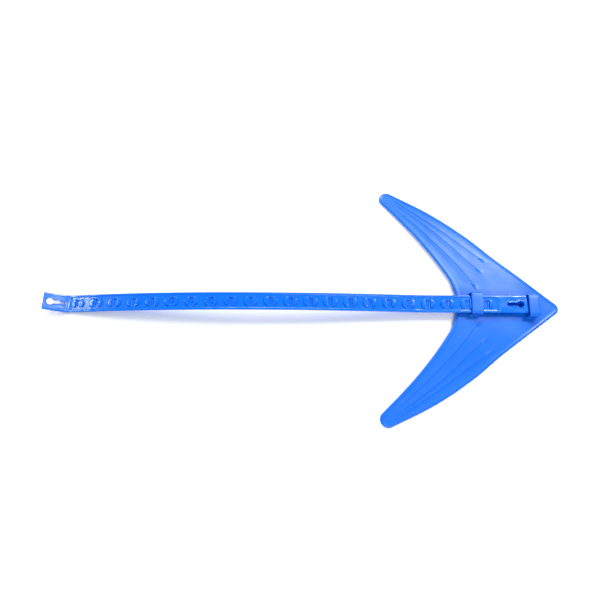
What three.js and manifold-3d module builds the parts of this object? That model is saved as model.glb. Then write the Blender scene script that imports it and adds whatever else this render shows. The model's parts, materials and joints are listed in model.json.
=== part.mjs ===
// Solar-cover anchor: a thin arrow-shaped plate with two strap loops, and the pocketed strap
// threaded through them. Millimetres. +X runs along the strap to the arrow's point, +Z is up, and
// the origin is the bottom centre of the whole object's box.
//
// The strap is one flexible moulding that bends at its pockets, so it is divided there: each
// stretch between two pockets is a solid of its own. The plate is one moulding too, and it is
// divided at the root of each fluke, where the thin plate flexes.

import * as THREE from 'three';
import { mergeVertices } from 'three/addons/utils/BufferGeometryUtils.js';
import Module from 'manifold-3d';

// Strap
const STRAP_WIDTH = 21.8;
const STRAP_THICK = 2.4;
const PITCH = 24;
const TAIL_LENGTH = 122;
const STRETCH_COUNT = 18;
const NECK_LENGTH = 14.5;
const TAB_LENGTH = 27.5;
const END_CORNER_RADIUS = 1.6;
const POCKET_WIDTH = 3.8;
const POCKET_HEIGHT = 8.6;
const POCKET_DEPTH = 1.7;
const PAD_START = 3.4;
const PAD_REACH = 5.2;
const PAD_HALF_HEIGHT = 6;
const PAD_RISE = 1.2;
const KEYHOLE_HEAD_RADIUS = 4.1;
const KEYHOLE_SLOT_WIDTH = 4;
const KEYHOLE_HEAD_CENTRE = 8;
const KEYHOLE_END = 24.5;

// How the strap lies: flat through the loops, bowed behind them, the tab bent up at a crease
const TOP_IN_LOOPS = 12.4;
const TOP_AT_LAST_POCKET = 4.6;
const BOW_RISE = 13;
const BOW_FALL_POWER = 1.2;
const TAB_SLOPE = THREE.MathUtils.degToRad(36);

// Arrow plate, in a frame with its origin at the point and +X forward
const PLATE_THICK = 2;
const PLATE_YAW = THREE.MathUtils.degToRad(-2.2);
const STRAP_END_TO_POINT = 42.6;
const POINT_SIDE_OFFSET = -2.9;
const POINT_RADIUS = 7.8;
const EDGE_SLOPE = Math.atan(0.764);
const TIP_CENTRE = new THREE.Vector2(-212.2, 142.3);
const TIP_RADIUS = 9.5;
const TIP_ARC_START = THREE.MathUtils.degToRad(62);
const TIP_ARC_END = THREE.MathUtils.degToRad(226);
const ARCH_RISE = 3;
const ARCH_FLAT_HALF_WIDTH = 16;
const ARCH_HALF_SPAN = 150;
const ARCH_RAMP_LENGTH = 60;

// Loops
const LOOP_INNER_WIDTH = 25.4;
const LOOP_LEG_THICK = 1.2;
const LOOP_TOP_THICK = 1.5;
const LOOP_TOP = 15.5;
const LOOP_CORNER_RADIUS = 2.6;
const LOOPS = [
  { from: -111.3, to: -97.8 },
  { from: -41.8, to: -29.1 },
];

// Fits
const GAP = 0.3;
const OVERLAP = 0.4;
const CUT_DEPTH = 3.6;

// Mesh fineness
const ARC_STEPS = 12;
const CURVE_STEPS = 5;
const CORNER_STEPS = 4;
const ACROSS_PLATE_STEPS = 8;
const WELD_DISTANCE = 1e-4;

const BLUE = 0x1678f5;
const ROUGHNESS = 0.38;

const wasm = await Module();
wasm.setup();

function toSolid(geometry) {
  geometry.deleteAttribute('normal');
  geometry.deleteAttribute('uv');
  const merged = mergeVertices(geometry, WELD_DISTANCE);
  const vertProperties = new Float32Array(merged.attributes.position.array);
  const triVerts = new Uint32Array(merged.index.array);
  return new wasm.Manifold(new wasm.Mesh({ numProp: 3, vertProperties, triVerts }));
}

function toMesh(name, solid) {
  const { vertProperties, triVerts } = solid.getMesh();
  const geometry = new THREE.BufferGeometry();
  geometry.setAttribute('position', new THREE.BufferAttribute(new Float32Array(vertProperties), 3));
  geometry.setIndex(new THREE.BufferAttribute(new Uint32Array(triVerts), 1));
  geometry.computeVertexNormals();
  const material = new THREE.MeshStandardMaterial({ color: BLUE, roughness: ROUGHNESS, metalness: 0 });
  const mesh = new THREE.Mesh(geometry, material);
  mesh.name = name;
  return mesh;
}

function extruded(shape, depth, curveSegments) {
  return new THREE.ExtrudeGeometry(shape, { depth, bevelEnabled: false, curveSegments });
}

function boxSolid(sizeX, sizeY, lowZ, highZ, centreX) {
  const geometry = new THREE.BoxGeometry(sizeX, sizeY, highZ - lowZ);
  geometry.translate(centreX, 0, (lowZ + highZ) / 2);
  return toSolid(geometry);
}

function postSolid(radius, centreX) {
  const geometry = new THREE.CylinderGeometry(radius, radius, 2 * CUT_DEPTH, 2 * ARC_STEPS);
  geometry.rotateX(Math.PI / 2);
  geometry.translate(centreX, 0, 0);
  return toSolid(geometry);
}

// A distance along the strap is counted from its tail end, inside the plate's loops.

const HEAD_START = TAIL_LENGTH + STRETCH_COUNT * PITCH;
const CREASE_AT = HEAD_START + NECK_LENGTH;
const STRAP_LENGTH = CREASE_AT + TAB_LENGTH;

function pocketCentres() {
  const centres = [];
  for (let along = HEAD_START; along > KEYHOLE_END + PITCH / 2; along -= PITCH) {
    centres.push(along);
  }
  return centres;
}

function keyholeCutter(headAt, endAt) {
  const roundAt = endAt - (Math.sign(endAt - headAt) * KEYHOLE_SLOT_WIDTH) / 2;
  const slotLength = Math.abs(roundAt - headAt);
  return postSolid(KEYHOLE_HEAD_RADIUS, -headAt)
    .add(boxSolid(slotLength, KEYHOLE_SLOT_WIDTH, -CUT_DEPTH, CUT_DEPTH, -(headAt + roundAt) / 2))
    .add(postSolid(KEYHOLE_SLOT_WIDTH / 2, -roundAt));
}

// The raised D beside a pocket: its flat side faces the pocket, side is +1 towards the tail.
function padSolid(pocketAt, side) {
  const shape = new THREE.Shape();
  shape.absellipse(0, 0, PAD_REACH, PAD_HALF_HEIGHT, -Math.PI / 2, Math.PI / 2);
  shape.closePath();
  const geometry = extruded(shape, PAD_RISE + OVERLAP, ARC_STEPS / 2);
  geometry.rotateZ(side > 0 ? 0 : Math.PI);
  geometry.translate(-pocketAt + side * PAD_START, 0, -OVERLAP);
  return toSolid(geometry);
}

function roundedBlank(from, to, roundFrom, roundTo) {
  const half = STRAP_WIDTH / 2;
  const right = -from;
  const left = -to;
  const rightRadius = roundFrom ? END_CORNER_RADIUS : 0;
  const leftRadius = roundTo ? END_CORNER_RADIUS : 0;
  const shape = new THREE.Shape();
  shape.moveTo(left + leftRadius, -half);
  shape.lineTo(right - rightRadius, -half);
  if (roundFrom) shape.quadraticCurveTo(right, -half, right, -half + rightRadius);
  shape.lineTo(right, half - rightRadius);
  if (roundFrom) shape.quadraticCurveTo(right, half, right - rightRadius, half);
  shape.lineTo(left + leftRadius, half);
  if (roundTo) shape.quadraticCurveTo(left, half, left, half - leftRadius);
  shape.lineTo(left, -half + leftRadius);
  if (roundTo) shape.quadraticCurveTo(left, -half, left + leftRadius, -half);
  const geometry = extruded(shape, STRAP_THICK, CORNER_STEPS);
  geometry.translate(0, 0, -STRAP_THICK);
  return toSolid(geometry);
}

// The strap from one distance to another, with its top surface at z 0 and its tail-side end at x 0.
function strapPart(name, from, to) {
  const atTail = from === 0;
  const atHead = to === STRAP_LENGTH;
  const cutFrom = atTail ? from : from + GAP / 2;
  const cutTo = atHead ? to : to - GAP / 2;
  let solid = roundedBlank(cutFrom, cutTo, atTail, atHead);
  for (const pocketAt of pocketCentres()) {
    for (const side of [1, -1]) {
      const near = pocketAt - side * PAD_START;
      const far = near - side * PAD_REACH;
      const isInside = Math.min(near, far) > from && Math.max(near, far) < to;
      if (isInside) solid = solid.add(padSolid(pocketAt, side));
    }
    if (pocketAt >= from && pocketAt <= to) {
      solid = solid.subtract(boxSolid(POCKET_WIDTH, POCKET_HEIGHT, -POCKET_DEPTH, CUT_DEPTH, -pocketAt));
    }
  }
  if (atTail) solid = solid.subtract(keyholeCutter(KEYHOLE_HEAD_CENTRE, KEYHOLE_END));
  if (atHead) {
    solid = solid.subtract(keyholeCutter(STRAP_LENGTH - KEYHOLE_HEAD_CENTRE, STRAP_LENGTH - KEYHOLE_END));
  }
  return toMesh(name, solid.translate([from, 0, 0]));
}

// Height of the strap's top surface behind the loops, at a share of the way from its last pocket.
function bowHeight(share) {
  const peak = 1 / (1 + BOW_FALL_POWER);
  const shape = (t) => t * Math.max(1 - t, 0) ** BOW_FALL_POWER;
  const chord = TOP_AT_LAST_POCKET + (TOP_IN_LOOPS - TOP_AT_LAST_POCKET) * share;
  return chord + (BOW_RISE * shape(share)) / shape(peak);
}

function strapParts() {
  const parts = [{ name: 'strap_tail', from: 0, to: TAIL_LENGTH, slope: 0 }];
  for (let i = 0; i < STRETCH_COUNT; i++) {
    const from = TAIL_LENGTH + i * PITCH;
    const rise = bowHeight(1 - (i + 1) / STRETCH_COUNT) - bowHeight(1 - i / STRETCH_COUNT);
    const name = `strap_stretch_${String(i + 1).padStart(2, '0')}`;
    parts.push({ name, from, to: from + PITCH, slope: Math.asin(rise / PITCH) });
  }
  const neckSlope = Math.asin((STRAP_THICK - TOP_AT_LAST_POCKET) / NECK_LENGTH);
  parts.push({ name: 'strap_neck', from: HEAD_START, to: CREASE_AT, slope: neckSlope });
  parts.push({ name: 'strap_tab', from: CREASE_AT, to: STRAP_LENGTH, slope: TAB_SLOPE });
  return parts;
}

// Each part hangs in a group at its tail-side hinge line, nested in the group before it.
function makeStrap() {
  const strap = new THREE.Group();
  strap.position.z = TOP_IN_LOOPS;
  let holder = strap;
  let slopeSoFar = 0;
  for (const part of strapParts()) {
    const hinge = new THREE.Group();
    hinge.rotation.y = part.slope - slopeSoFar;
    hinge.add(strapPart(part.name, part.from, part.to));
    holder.add(hinge);
    const nextHinge = new THREE.Group();
    nextHinge.position.x = part.from - part.to;
    hinge.add(nextHinge);
    holder = nextHinge;
    slopeSoFar = part.slope;
  }
  return strap;
}

const mirrorY = (p) => new THREE.Vector2(p.x, -p.y);
const onCircle = (centre, radius, angle) =>
  new THREE.Vector2(centre.x + radius * Math.cos(angle), centre.y + radius * Math.sin(angle));

// The left fluke's edges, from the point to the tip and back, with the fold line's ends between.
function plateEdges() {
  const pointCentre = new THREE.Vector2(-POINT_RADIUS, 0);
  const arcEnd = Math.PI / 2 - EDGE_SLOPE;
  const pointArc = [];
  for (let i = 0; i <= ARC_STEPS / 2; i++) {
    pointArc.push(onCircle(pointCentre, POINT_RADIUS, (arcEnd * i) / (ARC_STEPS / 2)));
  }
  const outerKnots = [
    [-62, 51.2], [-80, 65.7], [-94.5, 78.5], [-110, 91.3], [-140, 113], [-170, 131.2],
  ].map(([x, y]) => new THREE.Vector2(x, y));
  outerKnots.push(onCircle(TIP_CENTRE, TIP_RADIUS, TIP_ARC_START));
  const outerFold = 2;
  const innerKnots = [onCircle(TIP_CENTRE, TIP_RADIUS, TIP_ARC_END)];
  innerKnots.push(...[
    [-198.1, 114], [-176.6, 90], [-157.6, 66], [-143.5, 46], [-133.5, 30], [-128.4, 16], [-126.3, 0],
  ].map(([x, y]) => new THREE.Vector2(x, y)));
  const innerFold = 5;
  const outer = new THREE.SplineCurve(outerKnots).getPoints((outerKnots.length - 1) * CURVE_STEPS);
  const inner = new THREE.SplineCurve(innerKnots).getPoints((innerKnots.length - 1) * CURVE_STEPS);
  const tipArc = [];
  for (let i = 1; i < ARC_STEPS; i++) {
    const angle = THREE.MathUtils.lerp(TIP_ARC_START, TIP_ARC_END, i / ARC_STEPS);
    tipArc.push(onCircle(TIP_CENTRE, TIP_RADIUS, angle));
  }
  const outerSplit = outerFold * CURVE_STEPS;
  const innerSplit = innerFold * CURVE_STEPS;
  return {
    crownOuter: [...pointArc, ...outer.slice(0, outerSplit + 1)],
    crownInner: inner.slice(innerSplit),
    fluke: [...outer.slice(outerSplit), ...tipArc, ...inner.slice(0, innerSplit + 1)],
    foldOuter: outer[outerSplit],
    foldInner: inner[innerSplit],
  };
}

// The plate rises from its rim to a flat crown, so it rests on its point and its fluke tips.
function archAt(x, y) {
  const ramp = THREE.MathUtils.smoothstep(-x, 0, ARCH_RAMP_LENGTH);
  const side = Math.max(Math.abs(y) - ARCH_FLAT_HALF_WIDTH, 0) / (ARCH_HALF_SPAN - ARCH_FLAT_HALF_WIDTH);
  return ARCH_RISE * ramp * Math.max(1 - side * side, 0);
}

function liftToArch(geometry) {
  const position = geometry.attributes.position;
  for (let i = 0; i < position.count; i++) {
    position.setZ(i, position.getZ(i) + archAt(position.getX(i), position.getY(i)));
  }
  return geometry;
}

function pointAlong(points, share) {
  const place = share * (points.length - 1);
  const index = Math.min(Math.floor(place), points.length - 2);
  return points[index].clone().lerp(points[index + 1], place - index);
}

function crownPlate(edges) {
  const intoCrown = foldNormal(edges).multiplyScalar(-GAP / 2);
  const outerHalf = [...edges.crownOuter];
  outerHalf[outerHalf.length - 1] = edges.foldOuter.clone().add(intoCrown);
  const innerHalf = [...edges.crownInner];
  innerHalf[0] = edges.foldInner.clone().add(intoCrown);
  const alongSteps = 2 * (outerHalf.length - 1);
  const geometry = new THREE.BoxGeometry(1, 1, PLATE_THICK, alongSteps, ACROSS_PLATE_STEPS, 1);
  const position = geometry.attributes.position;
  for (let i = 0; i < position.count; i++) {
    const u = position.getX(i) + 0.5;
    const v = position.getY(i) + 0.5;
    const onLeft = u <= 0.5;
    const fromFold = onLeft ? 2 * u : 2 * (1 - u);
    const outer = pointAlong(outerHalf, 1 - fromFold);
    const inner = pointAlong(innerHalf, fromFold);
    const p = inner.lerp(outer, v);
    position.setXYZ(i, p.x, onLeft ? p.y : -p.y, position.getZ(i) + PLATE_THICK / 2);
  }
  return toSolid(liftToArch(geometry));
}

function foldNormal(edges) {
  const along = edges.foldOuter.clone().sub(edges.foldInner).normalize();
  return new THREE.Vector2(-along.y, along.x);
}

function flukePlate(edges, side) {
  const outwards = foldNormal(edges).multiplyScalar(GAP / 2);
  const outline = edges.fluke.map((p) => p.clone());
  outline[0].add(outwards);
  outline[outline.length - 1].add(outwards);
  const shape = new THREE.Shape(side > 0 ? outline : outline.map(mirrorY).reverse());
  const geometry = extruded(shape, PLATE_THICK, 1);
  return toSolid(liftToArch(geometry));
}

// A strap loop: an upside-down U standing on the crown.
function loopSolid(loop) {
  const outerHalf = LOOP_INNER_WIDTH / 2 + LOOP_LEG_THICK;
  const innerHalf = LOOP_INNER_WIDTH / 2;
  const foot = PLATE_THICK + archAt(loop.to, 0) - OVERLAP;
  const underside = LOOP_TOP - LOOP_TOP_THICK;
  const innerRadius = LOOP_CORNER_RADIUS - LOOP_LEG_THICK;
  const shape = new THREE.Shape();
  shape.moveTo(outerHalf, foot);
  shape.lineTo(outerHalf, LOOP_TOP - LOOP_CORNER_RADIUS);
  shape.quadraticCurveTo(outerHalf, LOOP_TOP, outerHalf - LOOP_CORNER_RADIUS, LOOP_TOP);
  shape.lineTo(LOOP_CORNER_RADIUS - outerHalf, LOOP_TOP);
  shape.quadraticCurveTo(-outerHalf, LOOP_TOP, -outerHalf, LOOP_TOP - LOOP_CORNER_RADIUS);
  shape.lineTo(-outerHalf, foot);
  shape.lineTo(-innerHalf, foot);
  shape.lineTo(-innerHalf, underside - innerRadius);
  shape.quadraticCurveTo(-innerHalf, underside, innerRadius - innerHalf, underside);
  shape.lineTo(innerHalf - innerRadius, underside);
  shape.quadraticCurveTo(innerHalf, underside, innerHalf, underside - innerRadius);
  shape.lineTo(innerHalf, foot);
  shape.closePath();
  const geometry = extruded(shape, loop.to - loop.from, CORNER_STEPS);
  geometry.rotateX(Math.PI / 2);
  geometry.rotateZ(Math.PI / 2);
  geometry.translate(loop.from, 0, 0);
  return toSolid(geometry);
}

function makeArrow() {
  const edges = plateEdges();
  const arrow = new THREE.Group();
  arrow.position.set(STRAP_END_TO_POINT, POINT_SIDE_OFFSET, 0);
  arrow.rotation.z = PLATE_YAW;
  let crown = crownPlate(edges);
  for (const loop of LOOPS) crown = crown.add(loopSolid(loop));
  arrow.add(toMesh('arrow_crown', crown));
  arrow.add(toMesh('fluke_left', flukePlate(edges, 1)));
  arrow.add(toMesh('fluke_right', flukePlate(edges, -1)));
  return arrow;
}

const anchor = new THREE.Group();
anchor.add(makeArrow());
anchor.add(makeStrap());
anchor.updateMatrixWorld(true);
const bounds = new THREE.Box3().setFromObject(anchor, true);
const centre = bounds.getCenter(new THREE.Vector3());
anchor.position.set(-centre.x, -centre.y, -bounds.min.z);

export default anchor;
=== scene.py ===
import json
import math
import bmesh
import bpy
import numpy as np
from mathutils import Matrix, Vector


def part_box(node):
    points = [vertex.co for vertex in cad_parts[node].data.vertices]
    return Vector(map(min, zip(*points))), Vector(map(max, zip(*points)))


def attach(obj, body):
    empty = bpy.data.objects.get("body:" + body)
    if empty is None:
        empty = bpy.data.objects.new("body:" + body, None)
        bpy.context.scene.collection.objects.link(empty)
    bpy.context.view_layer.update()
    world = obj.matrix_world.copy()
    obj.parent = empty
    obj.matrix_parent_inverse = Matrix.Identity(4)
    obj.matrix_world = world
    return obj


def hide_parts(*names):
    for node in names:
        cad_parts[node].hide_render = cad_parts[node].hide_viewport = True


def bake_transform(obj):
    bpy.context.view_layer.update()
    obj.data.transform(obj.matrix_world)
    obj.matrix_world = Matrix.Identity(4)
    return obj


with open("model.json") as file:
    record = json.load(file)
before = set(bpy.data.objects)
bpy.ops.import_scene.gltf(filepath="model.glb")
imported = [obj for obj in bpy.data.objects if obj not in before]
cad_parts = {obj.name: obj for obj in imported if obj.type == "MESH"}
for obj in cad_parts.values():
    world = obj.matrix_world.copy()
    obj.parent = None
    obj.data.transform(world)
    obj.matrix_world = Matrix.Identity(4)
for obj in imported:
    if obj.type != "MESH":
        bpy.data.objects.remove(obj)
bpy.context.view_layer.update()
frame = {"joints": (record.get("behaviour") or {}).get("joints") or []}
joints = {joint["name"]: joint for joint in frame["joints"]}
mm = 0.001  # lengths below are in millimetres, and turn to metres as each mesh is made


def smooth(t):
    t = min(max(t, 0.0), 1.0)
    return t * t * (3 - 2 * t)


def lerp(a, b, t):
    return a + (b - a) * t


def toLinear(hexColour):
    channels = [int(hexColour[i:i + 2], 16) / 255 for i in (1, 3, 5)]
    return [c / 12.92 if c <= 0.04045 else ((c + 0.055) / 1.055) ** 2.4 for c in channels] + [1.0]


def addNode(tree, kind, inputs=None, **settings):
    node = tree.nodes.new(kind)
    for name, value in settings.items():
        setattr(node, name, value)
    for socket, value in (inputs or {}).items():
        if isinstance(value, bpy.types.NodeSocket):
            tree.links.new(value, node.inputs[socket])
        else:
            node.inputs[socket].default_value = value
    return node


# a shape is a list of points and a list of faces, welded when it is made into a piece
def newShape():
    return {"points": [], "faces": []}


def addGrid(shape, rows):
    base, width = len(shape["points"]), len(rows[0])
    for row in rows:
        shape["points"].extend(row)
    for i in range(len(rows) - 1):
        for k in range(width - 1):
            a = base + i * width + k
            shape["faces"].append((a, a + 1, a + width + 1, a + width))


def addFan(shape, centre, ring):
    base = len(shape["points"])
    shape["points"].append(centre)
    shape["points"].extend(ring)
    for k in range(1, len(ring)):
        shape["faces"].append((base, base + k, base + k + 1))


def makePiece(name, shape, toWorld, material, sharpDegrees=38):
    mesh = bmesh.new()
    corners = [mesh.verts.new(p) for p in shape["points"]]
    for face in shape["faces"]:
        ring = [corners[i] for i in face]
        if len(set(ring)) == len(ring):
            mesh.faces.new(ring)
    bmesh.ops.remove_doubles(mesh, verts=mesh.verts, dist=0.004)
    openEdges = [e for e in mesh.edges if e.is_boundary]
    if openEdges:
        bmesh.ops.holes_fill(mesh, edges=openEdges, sides=0)
    for vert in mesh.verts:
        vert.co = toWorld(vert.co)
    bmesh.ops.recalc_face_normals(mesh, faces=mesh.faces)
    if mesh.calc_volume(signed=True) < 0:
        bmesh.ops.reverse_faces(mesh, faces=mesh.faces)
    mesh.normal_update()
    for face in mesh.faces:
        face.smooth = True
    for edge in mesh.edges:
        isSoft = edge.calc_face_angle(0) < math.radians(sharpDegrees)
        edge.smooth = len(edge.link_faces) == 2 and isSoft
    looseEdges = sum(1 for e in mesh.edges if len(e.link_faces) != 2)
    data = bpy.data.meshes.new(name)
    mesh.to_mesh(data)
    mesh.free()
    data.materials.append(material)
    piece = bpy.data.objects.new(name, data)
    bpy.context.scene.collection.objects.link(piece)
    if looseEdges:
        print("open edges in", name, looseEdges)
    return piece


# Two finishes of one injection-moulded blue polyethylene.

# Low-density polyethylene off a satin mould: soft broad sheen, faint flow marks, waxy grain.
plateFinish = {
    "base": "#005ED0",
    "flowMark": "#0066D6",
    "roughness": (0.29, 0.37),
    "shine": 0.36,           # below the usual 0.5, because the waxy surface dulls its reflections
    "flowScaleMm": 60,       # flow marks run a hand's width
    "wavinessMm": 28,        # sink and wrinkle in a thin flat moulding
    "grainMm": 0.9,          # mould grain, drawn coarser than the real 0.1 mm so that it shows
}

# The same plastic off a polished mould: a tighter shine that picks out the pads.
strapFinish = {
    "base": "#0060D2",
    "flowMark": "#0067D8",
    "roughness": (0.13, 0.2),
    "shine": 0.45,
    "flowScaleMm": 24,
    "wavinessMm": 14,
    "grainMm": 0.7,
}


def polyethylene(name, finish):
    material = bpy.data.materials.new(name)
    material.use_nodes = True
    tree = material.node_tree
    tree.nodes.clear()
    place = addNode(tree, "ShaderNodeTexCoord")
    flow = addNode(tree, "ShaderNodeTexNoise", {
        "Vector": place.outputs["Object"], "Scale": 1000 / finish["flowScaleMm"],
        "Detail": 3.0, "Roughness": 0.45})
    colour = addNode(tree, "ShaderNodeMix", {
        "Factor": flow.outputs["Fac"], "A": toLinear(finish["base"]),
        "B": toLinear(finish["flowMark"])}, data_type="RGBA")
    gloss = addNode(tree, "ShaderNodeMapRange", {
        "Value": flow.outputs["Fac"], "From Min": 0.3, "From Max": 0.7,
        "To Min": finish["roughness"][0], "To Max": finish["roughness"][1]})
    waves = addNode(tree, "ShaderNodeTexNoise", {
        "Vector": place.outputs["Object"], "Scale": 1000 / finish["wavinessMm"], "Detail": 1.0})
    grain = addNode(tree, "ShaderNodeTexNoise", {
        "Vector": place.outputs["Object"], "Scale": 1000 / finish["grainMm"], "Detail": 2.0})
    waveBump = addNode(tree, "ShaderNodeBump", {
        "Height": waves.outputs["Fac"], "Strength": 0.35, "Distance": 0.0012})
    grainBump = addNode(tree, "ShaderNodeBump", {
        "Height": grain.outputs["Fac"], "Strength": 0.12, "Distance": 0.0001,
        "Normal": waveBump.outputs["Normal"]})
    shader = addNode(tree, "ShaderNodeBsdfPrincipled", {
        "Base Color": colour.outputs["Result"], "Roughness": gloss.outputs["Result"],
        "Normal": grainBump.outputs["Normal"], "IOR": 1.51, "Specular IOR Level": finish["shine"]})
    addNode(tree, "ShaderNodeOutputMaterial", {"Surface": shader.outputs["BSDF"]})
    return material


platePlastic = polyethylene("satinMouldedPolyethylene", plateFinish)
strapPlastic = polyethylene("polishedMouldedPolyethylene", strapFinish)
print("materials made")


# The strap. Lengths run from its tail end, and heights from its top surface.
strap = {
    "halfWidth": 10.9,
    "thick": 2.4,
    "pitch": 24,
    "firstSlot": 50,
    "slotCount": 22,
    "tailSlots": 3,          # the tail piece has this many slots
    "crease": 568.5,
    "length": 596,
    "tabSlope": 36,
    "slotHalfWidth": 1.85,
    "slotHalfHeight": 4.25,
    "pocketDepth": 1.7,      # the slots are blind: a thin web is left under each
    "lip": 0.28,             # rounding of a slot's upper edge
    "lipDrop": 0.24,
    "recess": 0.4,           # how far the web lies below the edge rails
    "recessRamps": [(34.5, 3.5), (563, 3)],    # where the recess starts, stops; ramp lengths
    "railInside": 8.3,
    "railSlope": 0.55,
    "padStart": 3.4,
    "padReach": 5.2,
    "padHalfHeight": 6,
    "padRise": 1.05,
    "padMeanReach": 5.6,     # between the two half-axes, for distances from the pad's round side
    "padWall": 0.65,
    "padSkirt": 0.5,         # the flat side's wall starts this far before the pad
    "padCrown": 0.27,        # how far a pad's top is domed
    "endCorner": 1.6,
    "endEdge": 0.5,
    "keyholeHead": 8,
    "keyholeRadius": 4.1,
    "keyholeSlotHalf": 2,
    "keyholeEnd": 24.5,
    "keyholeRim": 0.22,
    "bend": 9,               # the strap bends over this length each side of a slot
    "creaseBend": 2.6,
    "tabBlend": 2.4,         # a length each side of the crease
    "creaseGroove": 0.45,
    "grooveHalfWidth": 1.7,
}

cellLines = [0, 2.125, 4.25, 5.775, 7.3]       # lines across the strap, shared by all its patches
tolerance = 0.05                               # for choosing the lines at a slot's edge
webEdge = cellLines[-1]
acrossLines = [-y for y in reversed(cellLines[1:])] + cellLines
halfCell = strap["pitch"] / 2
padStart, halfWide, halfTall = strap["padStart"], strap["slotHalfWidth"], strap["slotHalfHeight"]
padGaps = 8                                    # steps from a pad's flat side to the cell's edge
padGap = (halfCell - padStart) / padGaps
slotSteps = [0.95, halfWide, 2.13, 2.6, 3.0, 3.13, 3.27, padStart]
padSteps = [padStart + padGap * k for k in range(1, padGaps + 1)]
padTall = strap["padHalfHeight"]
padRings = [0.24, 0.48, halfTall / padTall, (halfTall + strap["lip"]) / padTall, 0.83,
            0.9, 0.925, 0.95, 0.975, 1.0, 1.05]
# from inside a rail, over it and down the strap's side; None takes the top surface's height
edgeProfile = [(8.3, None), (8.46, None), (8.63, None), (8.8, None), (9.1, 0), (10.2, 0),
               (10.5, -0.05), (10.74, -0.2), (10.87, -0.42), (10.9, -0.75), (10.9, -1.8),
               (10.85, -2.1), (10.7, -2.3), (10.4, -2.4)]

slots = [strap["firstSlot"] + strap["pitch"] * k for k in range(strap["slotCount"])]
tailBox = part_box("strap_tail")
strapY = joints["strap_curl_01"]["pos_m"][1] / mm
topAtTail = joints["strap_curl_01"]["pos_m"][2] / mm

# the strap's line, seen from the side: its top at the tail end, each hinge, and the tab's end
spine = [(0, np.array([tailBox[1].x / mm, topAtTail]))]
for k in range(1, 20):
    at = joints["strap_curl_%02d" % k]["pos_m"]
    hingeAt = slots[strap["tailSlots"] - 1] + strap["pitch"] * k
    spine.append((hingeAt, np.array([at[0] / mm, at[2] / mm])))
at = joints["tab_fold"]["pos_m"]
spine.append((strap["crease"], np.array([at[0] / mm, at[2] / mm])))
tabSlope = math.radians(strap["tabSlope"])
tabWay = np.array([-math.cos(tabSlope), math.sin(tabSlope)])
spine.append((strap["length"], spine[-1][1] + tabWay * (strap["length"] - strap["crease"])))


def spineAt(s):
    k = 0
    while k < len(spine) - 2 and s > spine[k + 1][0]:
        k += 1
    way = (spine[k + 1][1] - spine[k][1]) / (spine[k + 1][0] - spine[k][0])
    for c in (k, k + 1):
        if 0 < c < len(spine) - 1:
            reach = strap["creaseBend"] if spine[c][0] == strap["crease"] else strap["bend"]
            if abs(s - spine[c][0]) < reach:
                before = (spine[c][1] - spine[c - 1][1]) / (spine[c][0] - spine[c - 1][0])
                after = (spine[c + 1][1] - spine[c][1]) / (spine[c + 1][0] - spine[c][0])
                t = (s - spine[c][0] + reach) / (2 * reach)
                start, end = spine[c][1] - before * reach, spine[c][1] + after * reach
                place = start * (1 - t) ** 2 + spine[c][1] * 2 * t * (1 - t) + end * t * t
                way = before * (1 - t) + after * t
                return place, way / np.linalg.norm(way)
    return spine[k][1] + way * (s - spine[k][0]), way / np.linalg.norm(way)


def onStrap(p):
    place, way = spineAt(p[0])
    return Vector((place[0] + way[1] * p[2], strapY + p[1], place[1] - way[0] * p[2])) * mm


def webLevel(s):
    (tailFrom, tailRamp), (tabFrom, tabRamp) = strap["recessRamps"]
    rising = 1 - smooth((s - tailFrom) / tailRamp) + smooth((s - tabFrom) / tabRamp)
    return -strap["recess"] * (1 - rising)


def topLevel(s, y):
    base = webLevel(s)
    level = lerp(base, 0, smooth((abs(y) - strap["railInside"]) / strap["railSlope"]))
    for slotAt in slots:
        away = abs(s - slotAt)
        if away > strap["pitch"] / 2:
            continue
        inPad = away - strap["padStart"]
        r = math.hypot(max(inPad, 0) / strap["padReach"], y / strap["padHalfHeight"])
        depth = min(inPad + strap["padSkirt"], (1 - r) * strap["padMeanReach"])
        rise = smooth(depth / strap["padWall"])
        crown = strap["padRise"] + strap["padCrown"] * (1 - r * r)
        level = lerp(level, crown, rise)
        outside = max(away - strap["slotHalfWidth"], abs(y) - strap["slotHalfHeight"])
        if outside < strap["lip"]:
            level -= strap["lipDrop"] * (1 - outside / strap["lip"]) ** 2
    groove = abs(s - strap["crease"]) / strap["grooveHalfWidth"]
    if groove < 1:
        level -= strap["creaseGroove"] * (1 - groove * groove) ** 2
    return level


def topPoint(s, y):
    return (s, y, topLevel(s, y))


def addEdges(shape, lines, cornerAt=None):
    # rails, sides and the underside's margins, along the given lines across the strap
    for side in (1, -1):
        rows = []
        for s in lines:
            row = [topPoint(s, side * webEdge)]
            for y, z in edgeProfile:
                row.append((s, side * y, topLevel(s, y) if z is None else z))
            row.append((s, side * webEdge, -strap["thick"]))
            rows.append([endInset(p, cornerAt) for p in row])
        addGrid(shape, rows)


def endInset(p, cornerAt):
    # rounds the strap's free end: its corners in plan, and its upper and lower edges
    if cornerAt is None:
        return p
    e = abs(p[0] - cornerAt)
    corner = strap["endCorner"]
    y, z = p[1], p[2]
    if e < corner:
        y *= 1 - (corner - math.sqrt(corner ** 2 - (corner - e) ** 2)) / strap["halfWidth"]
    edge = strap["endEdge"]
    if e < edge:
        drop = edge - math.sqrt(edge ** 2 - (edge - e) ** 2)
        middle = -strap["thick"] / 2
        z = lerp(z, middle, drop / (strap["thick"] / 2))
    return (p[0], y, z)


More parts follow.
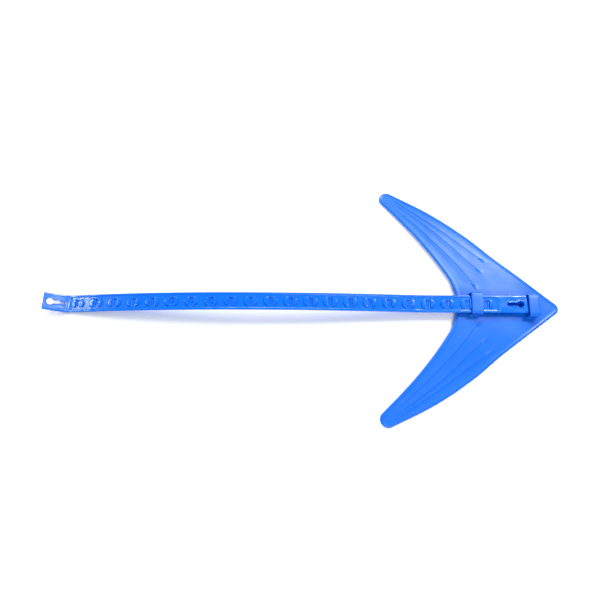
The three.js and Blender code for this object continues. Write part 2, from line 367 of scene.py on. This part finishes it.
def addSlotCell(shape, slotAt):
    lines = cellSpan(slotAt)
    wide = [-halfWide, -slotSteps[0], 0, slotSteps[0], halfWide]
    floorLines = [y for y in acrossLines if abs(y) < halfTall + tolerance]
    pocketFloor = -strap["pocketDepth"]
    web = [0] + [strap["padHalfHeight"] * r for r in padRings] + [webEdge]
    webLines = [-y for y in reversed(web[1:])] + web
    for side in (1, -1):
        # from the slot's edge to the pad's flat side
        steps = [slotAt + side * d for d in slotSteps[1:]]
        addGrid(shape, [[topPoint(s, y) for y in webLines] for s in steps])
        # the half-round pad, ring by ring, and out to the cell's edge
        alongEdge = [d - padGap for d in padSteps]
        border = [(d, -webEdge) for d in alongEdge]
        border += [(halfCell, y) for y in acrossLines]
        border += [(d, webEdge) for d in reversed(alongEdge)]
        rings = []
        for r in padRings:
            ring = []
            for k in range(len(border)):
                angle = math.radians(-90 + 180 * k / (len(border) - 1))
                d = strap["padStart"] + strap["padReach"] * r * math.cos(angle)
                ring.append((d, strap["padHalfHeight"] * r * math.sin(angle)))
            rings.append(ring)
        rings.append(border)
        rows = [[topPoint(slotAt + side * d, y) for d, y in ring] for ring in rings]
        addGrid(shape, rows)
        addFan(shape, topPoint(slotAt + side * strap["padStart"], 0), rows[0])
        # beside the slot's ends
        high = [y for y in web if y > halfTall - tolerance]
        addGrid(shape, [[topPoint(slotAt + d, side * y) for y in high] for d in wide])
        # the pocket's walls and floor
        wallAt = slotAt + side * halfWide
        tops = [topPoint(wallAt, y) for y in webLines if abs(y) < halfTall + tolerance]
        addStitched(shape, tops, [(wallAt, y, pocketFloor) for y in floorLines])
        ends = [(slotAt + d, side * halfTall) for d in wide]
        addGrid(shape, [[topPoint(*p) for p in ends], [(*p, pocketFloor) for p in ends]])
    addGrid(shape, [[(slotAt + d, y, pocketFloor) for y in floorLines] for d in wide])
    addGrid(shape, [[(s, y, -strap["thick"]) for y in acrossLines] for s in lines])
    addEdges(shape, lines)


def cellSpan(slotAt):
    steps = slotSteps + padSteps
    return [slotAt - d for d in reversed(steps)] + [slotAt] + [slotAt + d for d in steps]


def addStitched(shape, upper, lower):
    # joins two lines of points of different counts with one face for each gap in the shorter line
    base = len(shape["points"])
    shape["points"].extend(upper + lower)
    at = 0
    for k in range(len(lower) - 1):
        stop = at
        while stop < len(upper) - 1 and upper[stop][1] < lower[k + 1][1] - 1e-6:
            stop += 1
        ring = [base + i for i in range(at, stop + 1)]
        ring += [base + len(upper) + k + 1, base + len(upper) + k]
        shape["faces"].append(tuple(ring))
        at = stop


def addKeyholeEnd(shape, endAt, way, gridTo):
    # the strap's end with its keyhole: way is +1 where s grows away from the end, and gridTo
    # is where the next cell starts
    def point(e, y, z=None):
        s = endAt + way * e
        return endInset((s, y, topLevel(s, y) if z is None else z), endAt)

    head, radius, half = strap["keyholeHead"], strap["keyholeRadius"], strap["keyholeSlotHalf"]
    joint = math.asin(half / radius)
    outline = []
    for k in range(11):
        angle = lerp(math.pi, joint, k / 10)
        outline.append((head + radius * math.cos(angle), radius * math.sin(angle)))
    straightFrom, straightTo = outline[-1][0], strap["keyholeEnd"] - half
    outline += [(lerp(straightFrom, straightTo, k / 10), half) for k in range(1, 11)]
    for k in range(1, 5):
        angle = math.pi / 2 * (1 - k / 4)
        outline.append((straightTo + half * math.cos(angle), half * math.sin(angle)))
    patchFrom, patchTo = 1.2, 26.0
    sides = [patchFrom + (patchTo - patchFrom) * k / 16 for k in range(17)]
    border = [(patchFrom, y) for y in cellLines] + [(e, webEdge) for e in sides[1:]]
    border += [(patchTo, y) for y in reversed(cellLines[:-1])]

    def outwards(k):
        before, after = outline[max(k - 1, 0)], outline[min(k + 1, len(outline) - 1)]
        if k == 0:
            return (-1.0, 0.0)
        if k == len(outline) - 1:
            return (1.0, 0.0)
        dx, dy = after[0] - before[0], after[1] - before[1]
        size = math.hypot(dx, dy)
        return (-dy / size, dx / size)

    lipRings = [(0, -0.32), (0.1, -0.1), (0.3, 0), (0.55, 1), (0.95, 1), (1.3, 0), (1.6, 0)]
    bottomRings = [(0, 0.2), (0.25, 0)]
    for side in (1, -1):
        rows = []
        for away, lift in lipRings:
            row = []
            for k, (e, y) in enumerate(outline):
                n = outwards(k)
                p = point(e + n[0] * away, side * (y + n[1] * away))
                rise = strap["keyholeRim"] if lift == 1 else lift
                row.append((p[0], p[1], p[2] + rise))
            rows.append(row)
        first = [(row[0], row[1]) for row in rows[-1]]
        last = [(endAt + way * e, side * y) for e, y in border]
        for t in (0.35, 0.68):
            between = [(lerp(a[0], b[0], t), lerp(a[1], b[1], t)) for a, b in zip(first, last)]
            rows.append([endInset(topPoint(s, y), endAt) for s, y in between])
        rows.append([point(e, side * y) for e, y in border])
        addGrid(shape, rows)
        # the keyhole's wall and the underside round it
        lower = []
        for away, lift in bottomRings:
            row = []
            for k, (e, y) in enumerate(outline):
                n = outwards(k)
                s, acrossAt = endAt + way * (e + n[0] * away), side * (y + n[1] * away)
                row.append((s, acrossAt, -strap["thick"] + lift))
            lower.append(row)
        lower.append([point(e, side * y, -strap["thick"]) for e, y in border])
        addGrid(shape, [rows[0], lower[0]])
        addGrid(shape, lower)
    endLines = [0, 0.03, 0.1, 0.22, 0.38, 0.55, 0.85, patchFrom]
    stepCount = max(1, int(round((gridTo - patchTo) / 1.3)))
    toCell = np.linspace(patchTo, gridTo, stepCount + 1).tolist()
    for lines in (endLines, toCell):
        addGrid(shape, [[point(e, y) for y in acrossLines] for e in lines])
        addGrid(shape, [[point(e, y, -strap["thick"]) for y in acrossLines] for e in lines])
    allLines = [endAt + way * e for e in endLines + sides[1:] + toCell[1:]]
    addEdges(shape, allLines, endAt)


def blendAcross(piece):
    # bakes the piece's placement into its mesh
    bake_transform(piece)


def makeStrap():
    shape = newShape()
    addKeyholeEnd(shape, 0, 1, slots[0] - halfCell)
    for slotAt in slots[:strap["tailSlots"]]:
        addSlotCell(shape, slotAt)
    tail = makePiece("strapTailMoulding", shape, onStrap, strapPlastic)
    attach(tail, "strap_tail")
    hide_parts("strap_tail")
    stretches = ["strap_stretch_%02d" % k for k in range(1, 19)]
    bodies = ["strap_tail"] + stretches + ["strap_neck"]
    for k, slotAt in enumerate(slots[strap["tailSlots"]:]):
        shape = newShape()
        addSlotCell(shape, slotAt)
        piece = makePiece("strapSlotMoulding%02d" % (k + 1), shape, onStrap, strapPlastic)
        blendAcross(piece)
        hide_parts(bodies[k + 1])
    shape = newShape()
    addKeyholeEnd(shape, strap["length"], -1, strap["length"] - slots[-1] - halfCell)
    tab = makePiece("strapTabMoulding", shape, onStrap, strapPlastic)
    blendAcross(tab)
    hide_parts("strap_tab")


makeStrap()
print("strap made")


# The arrow plate, in millimetres from its point, with x growing forwards.
plate = {
    "thick": 2.0,
    "yaw": -2.2,             # degrees, against the strap
    "sideOffset": -2.9,
    "pointRadius": 7.8,
    "edgeSlope": 0.764,      # of the straight edges beside the point
    "outerEdge": [(-62, 51.2), (-80, 65.7), (-94.5, 78.5), (-110, 91.3), (-140, 113),
                  (-170, 131.2)],
    "innerEdge": [(-198.1, 114), (-176.6, 90), (-157.6, 66), (-143.5, 46), (-133.5, 30),
                  (-128.4, 16), (-126.3, 0)],
    "tipCentre": (-212.2, 142.3),
    "tipRadius": 9.5,
    "tipArc": (62, 226),
    "archRise": 3,           # the plate's middle stands this much higher than its tips
    "archFlat": 16,
    "archHalfSpan": 150,
    "archRamp": 60,
    "edgeRound": 1.0,
    "beadReach": 3.4,        # a low bead follows the plate's edge this far in
    "beadHeight": 0.35,
    "ribHeight": 0.4,
    "ribHalfWidth": 0.6,
    "ribFade": 12,
    "fluteDepth": 0.16,      # the bands between the ribs are dished by this much
    "flexReach": 20,         # a length each side of a fluke's root
}

ribs = [
    [(-196, 122.5), (-188.7, 115.4), (-169.9, 98.0), (-157.8, 85.6), (-146.8, 74.6),
     (-130.9, 57.6), (-118, 42), (-107.4, 27.3), (-101.5, 19.5)],
    [(-200, 134), (-196, 131), (-175.9, 117.2), (-151, 97.1), (-132, 79.7), (-115.3, 62.8),
     (-103.3, 51.8), (-92.5, 42.5)],
    [(-203, 142), (-197.7, 138.6), (-179.6, 126.6), (-160, 113.2), (-142.9, 101), (-125.9, 88.6),
     (-114.2, 79.6), (-99, 68.4), (-86, 59)],
]
bandSteps = (7, 5, 4, 5)
ribOffsets = (-1, -0.55, 0, 0.55, 1)
alongSteps = 74


def spline(knots, steps):
    points = []
    for k in range(len(knots) - 1):
        p = [np.array(knots[min(max(k + d, 0), len(knots) - 1)], float) for d in (-1, 0, 1, 2)]
        for i in range(steps):
            t = i / steps
            v0, v1 = (p[2] - p[0]) / 2, (p[3] - p[1]) / 2
            cubic = 2 * p[1] - 2 * p[2] + v0 + v1
            square = -3 * p[1] + 3 * p[2] - 2 * v0 - v1
            points.append(cubic * t ** 3 + square * t ** 2 + v0 * t + p[1])
    points.append(np.array(knots[-1], float))
    return np.array(points)


def resample(points, stops):
    lengths = np.concatenate([[0], np.cumsum(np.linalg.norm(np.diff(points, axis=0), axis=1))])
    at = np.array(stops) * lengths[-1]
    return np.stack([np.interp(at, lengths, points[:, k]) for k in (0, 1)], axis=1)


def onCircle(centre, radius, degrees):
    angle = math.radians(degrees)
    return (centre[0] + radius * math.cos(angle), centre[1] + radius * math.sin(angle))


def archAt(x, y):
    side = max(abs(y) - plate["archFlat"], 0) / (plate["archHalfSpan"] - plate["archFlat"])
    return plate["archRise"] * smooth(-x / plate["archRamp"]) * max(1 - side * side, 0)


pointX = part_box("arrow_crown")[1].x / mm
pointY = strapY + plate["sideOffset"]
yaw = math.radians(plate["yaw"])


def onPlate(p):
    x = pointX + math.cos(yaw) * p[0] - math.sin(yaw) * p[1]
    y = pointY + math.sin(yaw) * p[0] + math.cos(yaw) * p[1]
    return Vector((x, y, p[2])) * mm


def plateOutline():
    arc = [onCircle((-plate["pointRadius"], 0), plate["pointRadius"], a)
           for a in np.linspace(0, 90 - math.degrees(math.atan(plate["edgeSlope"])), 25)]
    tipFrom, tipTo = plate["tipArc"]
    outerKnots = plate["outerEdge"] + [onCircle(plate["tipCentre"], plate["tipRadius"], tipFrom)]
    innerKnots = [onCircle(plate["tipCentre"], plate["tipRadius"], tipTo)] + plate["innerEdge"]
    arcPart = resample(np.array(arc), np.linspace(0, 1, 9))
    rest = np.concatenate([np.array(arc[-1:]), spline(outerKnots, 12)])
    outer = np.concatenate([arcPart, resample(rest, np.linspace(0, 1, alongSteps - 7))[1:]])
    inner = resample(spline(innerKnots, 12)[::-1], np.linspace(0, 1, alongSteps + 1))
    return outer, inner


def ribCrossing(rib, inner, outer):
    # where a rib crosses the line from the inner to the outer edge, as a share of that line, and
    # how far the crossing is from the rib's nearer end
    way = outer - inner
    off = (rib[:, 0] - inner[0]) * way[1] - (rib[:, 1] - inner[1]) * way[0]
    for k in range(len(rib) - 1):
        if off[k] * off[k + 1] <= 0 and off[k] != off[k + 1]:
            t = off[k] / (off[k] - off[k + 1])
            p = rib[k] + (rib[k + 1] - rib[k]) * t
            lengths = np.linalg.norm(np.diff(rib, axis=0), axis=1)
            along = lengths[:k].sum() + lengths[k] * t
            share = float(np.dot(p - inner, way) / np.dot(way, way))
            return share, min(along, lengths.sum() - along)
    return None


def acrossStops(inner, outer, ribLines, before):
    # stops across the plate: bands between the ribs, with five close stops at each rib
    width = float(np.linalg.norm(outer - inner))
    places, fades = [], []
    for i, rib in enumerate(ribLines):
        found = ribCrossing(rib, inner, outer)
        places.append(found[0] if found else before[i])
        fades.append(smooth(found[1] / plate["ribFade"]) if found else 0.0)
    half = min(plate["ribHalfWidth"] / width, 0.03)
    stops, heights = [], []
    edges = [0.0] + places + [1.0]
    for band in range(4):
        low = edges[band] + (half if band else 0)
        high = edges[band + 1] - (half if band < 3 else 0)
        near = [fades[i] for i in (band - 1, band) if 0 <= i < 3]
        dish = plate["fluteDepth"] * sum(near) / len(near)
        count = bandSteps[band]
        for k in range(count + 1):
            if band and k == 0:
                continue
            t = k / count
            stops.append(lerp(low, high, t))
            heights.append(-dish * math.sin(math.pi * t) ** 2)
        if band < 3:
            for offset in ribOffsets[1:]:
                stops.append(places[band] + offset * half)
                rise = math.cos(math.pi / 2 * offset) ** 1.5 if abs(offset) < 1 else 0.0
                heights.append(plate["ribHeight"] * fades[band] * rise)
    return stops, heights, places


def makeHalfPlate(name, side, fluke):
    outer, inner = plateOutline()
    ribLines = [spline(rib, 6) for rib in ribs]
    lines, before = [], [0.3, 0.6, 0.8]
    for k in range(alongSteps, -1, -1):
        stops, heights, before = acrossStops(inner[k], outer[k], ribLines, before)
        lines.append((stops, heights))
    lines.reverse()
    tipFrom, tipTo = plate["tipArc"]
    tip = np.array([onCircle(plate["tipCentre"], plate["tipRadius"], lerp(tipTo, tipFrom, v))
                    for v in lines[-1][0]])
    path = np.concatenate([outer, tip[::-1][1:-1], inner[::-1]])
    ways = np.gradient(path, axis=0)
    inwards = np.stack([-ways[:, 1], ways[:, 0]], axis=1)
    inwards /= np.linalg.norm(inwards, axis=1)[:, None]
    inwards[0], inwards[-1] = (-1, 0), (1, 0)
    radius = plate["edgeRound"]
    shape = newShape()

    def level(x, y, up, extra=0.0):
        return archAt(x, y) + plate["thick"] / 2 + up + extra

    rings = []
    for degrees in (-90, -68, -45, -22, 0, 22, 45, 68, 90):
        turn = math.radians(degrees)
        ring = path + inwards * radius * (1 - math.cos(turn))
        rings.append([(p[0], p[1], level(p[0], p[1], radius * math.sin(turn))) for p in ring])
    for t in (0.2, 0.4, 0.6, 0.8, 1.0):
        ring = path + inwards * lerp(radius, plate["beadReach"], t)
        lift = plate["beadHeight"] * math.sin(math.pi * t) ** 2
        rings.append([(p[0], p[1], level(p[0], p[1], radius, lift)) for p in ring])
    addGrid(shape, rings)
    count = len(lines[0][0])
    for up, isTop in ((plate["thick"] / 2, True), (-plate["thick"] / 2, False)):
        rim = path + inwards * (plate["beadReach"] if isTop else radius)
        rimOuter, rimTip = rim[:alongSteps + 1], rim[alongSteps:alongSteps + count][::-1]
        rimInner = rim[alongSteps + count - 1:][::-1]
        rows = []
        for k in range(alongSteps + 1):
            stops, heights = lines[k]
            bulge = smooth((k / alongSteps - 0.86) / 0.14)
            row = []
            for m in range(count):
                p = rimInner[k] + (rimOuter[k] - rimInner[k]) * stops[m]
                chord = rimInner[-1] + (rimOuter[-1] - rimInner[-1]) * lines[-1][0][m]
                p = p + (rimTip[m] - chord) * bulge
                extra = heights[m] if isTop and k < alongSteps else 0.0
                row.append((p[0], p[1], level(p[0], p[1], up, extra)))
            rows.append(row)
        addGrid(shape, rows)
    piece = makePiece(name, shape, lambda p: onPlate((p[0], side * p[1], p[2])), platePlastic)
    flex = joints[fluke + "_flex"]
    at, axis = Vector(flex["pos_m"]), Vector(flex["axis"])
    outwards = Vector((axis.y, -axis.x, 0)).normalized()
    if outwards.y * side < 0:
        outwards.negate()
    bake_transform(piece)
    return piece


leftHalf = makeHalfPlate("plateLeftHalf", 1, "fluke_left")
rightHalf = makeHalfPlate("plateRightHalf", -1, "fluke_right")
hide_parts("fluke_left", "arrow_crown")
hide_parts("fluke_right")
print("plate made")


# The two strap loops that stand on the plate.
loops = {
    "rear": (-111.3, -97.8),
    "front": (-41.8, -29.1),
    "innerWidth": 25.4,
    "leg": 1.2,
    "top": 15.5,
    "topThick": 1.5,
    "corner": 2.6,
    "edge": 0.38,            # rounding along the loop's long edges
    "footFlare": 0.6,
}


def makeLoop(name, xFrom, xTo):
    outerHalf = loops["innerWidth"] / 2 + loops["leg"]
    innerHalf = loops["innerWidth"] / 2
    top, under, corner = loops["top"], loops["top"] - loops["topThick"], loops["corner"]
    innerCorner = corner - loops["leg"]
    # stations from one foot, over the top, to the other: outer and inner points of the wall
    right = []
    footProfile = ((-0.5, 1.0), (0.02, 1.0), (0.12, 0.62), (0.3, 0.3), (0.6, 0.08), (0.95, 0))
    for height, flare in footProfile:
        grow = loops["footFlare"] * flare
        right.append(((outerHalf + grow, height), (innerHalf - grow, height), True))
    for t in (0.35, 0.7, 1.0):
        z = lerp(6.6, top - corner, t)
        right.append(((outerHalf, z), (innerHalf, min(z, under - innerCorner)), False))
    for degrees in (15, 30, 45, 60, 75, 90):
        a = math.radians(degrees)
        outer = (outerHalf - corner + corner * math.cos(a), top - corner + corner * math.sin(a))
        inner = (innerHalf - innerCorner + innerCorner * math.cos(a),
                 under - innerCorner + innerCorner * math.sin(a))
        right.append((outer, inner, False))
    right += [((y, top), (y, under), False) for y in (7.2, 3.6)]
    stations = [((-a[0], a[1]), (-b[0], b[1]), foot) for a, b, foot in right]
    stations = stations + [((0, top), (0, under), False)] + right[::-1]
    edge = loops["edge"]
    turns = [math.radians(degrees) for degrees in (90, 60, 30, 0)]
    wall = [(xFrom + edge * (1 - math.sin(a)), edge * (1 - math.cos(a))) for a in turns]
    wall += [(float(x), 0.0) for x in np.linspace(xFrom + edge, xTo - edge, 6)[1:-1]]
    wall += [(xTo - edge * (1 - math.sin(a)), edge * (1 - math.cos(a))) for a in reversed(turns)]
    ring = [(True, x, fromFace) for x, fromFace in wall]
    ring += [(False, x, fromFace) for x, fromFace in reversed(wall)]
    shape = newShape()
    rows = []
    for outer, inner, foot in stations:
        thickness = math.hypot(outer[0] - inner[0], outer[1] - inner[1])
        points = []
        for isOuter, x, fromFace in ring:
            share = fromFace / thickness
            a, b = (outer, inner) if isOuter else (inner, outer)
            y, z = lerp(a[0], b[0], share), lerp(a[1], b[1], share)
            if foot:
                z += plate["thick"] + archAt(x, 0)
            points.append((x, y, z))
        points.append(points[0])
        rows.append(points)
    addGrid(shape, rows)
    piece = makePiece(name, shape, onPlate, platePlastic)
    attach(piece, "crown")
    return piece


rearLoop = makeLoop("rearStrapLoop", *loops["rear"])
makeLoop("frontStrapLoop", *loops["front"])
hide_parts("arrow_crown")
print("loops made")


# Floor, lights and camera.
studio = {
    "floor": "#FCFCFD",
    "floorLevel": -0.0002,   # metres, just below the strap
    "room": 0.3,
    "cameraAt": (-3.0, -160.2, 548.0),
    "cameraTilt": 16.5,
    "cameraTurn": 0.34,
    "lens": 27.36,
}

# Matt white paper: spreads light evenly and shows only soft shadows.
floorPaper = bpy.data.materials.new("mattWhitePaper")
floorPaper.use_nodes = True
paperTree = floorPaper.node_tree
paperTree.nodes.clear()
fibres = addNode(paperTree, "ShaderNodeTexNoise", {"Scale": 900.0, "Detail": 2.0})
paperBump = addNode(paperTree, "ShaderNodeBump", {
    "Height": fibres.outputs["Fac"], "Strength": 0.05, "Distance": 0.0001})
paperShader = addNode(paperTree, "ShaderNodeBsdfPrincipled", {
    "Base Color": toLinear(studio["floor"]), "Roughness": 0.9,
    "Normal": paperBump.outputs["Normal"]})
addNode(paperTree, "ShaderNodeOutputMaterial", {"Surface": paperShader.outputs["BSDF"]})

floorMesh = bpy.data.meshes.new("floor")
floorCorners = [(-6, -6), (6, -6), (6, 6), (-6, 6)]
floorMesh.from_pydata([(x, y, studio["floorLevel"]) for x, y in floorCorners], [], [(0, 1, 2, 3)])
floorMesh.materials.append(floorPaper)
floor = bpy.data.objects.new("floor", floorMesh)
bpy.context.scene.collection.objects.link(floor)

lights = [
    # name, place in metres, width, height, watts, colour
    ("keySoftbox", (0.92, 0.74, 1.25), 0.4, 0.3, 15, "#FFFFFF"),
    ("backSoftbox", (-0.1, 1.4, 1.15), 0.9, 0.5, 30, "#FFFFFF"),
    ("frontSoftbox", (0.3, -1.35, 1.1), 0.8, 0.5, 17, "#FFFFFF"),
    ("leftLamp", (-1.1, 0.28, 0.75), 0.3, 0.14, 3, "#FFFFFF"),
    ("smallSoftbox", (0.38, -0.05, 1.25), 0.25, 0.25, 0.8, "#FFFFFF"),
]
for name, place, width, height, watts, colour in lights:
    lamp = bpy.data.lights.new(name, "AREA")
    lamp.shape = "RECTANGLE"
    lamp.size, lamp.size_y = width, height
    lamp.energy = watts
    lamp.color = toLinear(colour)[:3]
    holder = bpy.data.objects.new(name, lamp)
    holder.location = place
    holder.rotation_euler = (Vector((0, 0, 0)) - Vector(place)).to_track_quat("-Z", "Y").to_euler()
    bpy.context.scene.collection.objects.link(holder)

world = bpy.data.worlds.new("studioRoom")
world.use_nodes = True
world.node_tree.nodes["Background"].inputs["Color"].default_value = (0.86, 0.95, 1.0, 1.0)
world.node_tree.nodes["Background"].inputs["Strength"].default_value = studio["room"]
bpy.context.scene.world = world
bpy.context.scene.view_settings.view_transform = "Standard"

camera = bpy.data.objects.new("camera", bpy.data.cameras.new("camera"))
camera.data.lens = studio["lens"]
camera.data.sensor_width = 36
camera.location = Vector(studio["cameraAt"]) * mm
camera.rotation_euler = (math.radians(studio["cameraTilt"]), 0, math.radians(studio["cameraTurn"]))
bpy.context.scene.collection.objects.link(camera)
bpy.context.scene.camera = camera
print("stage made")
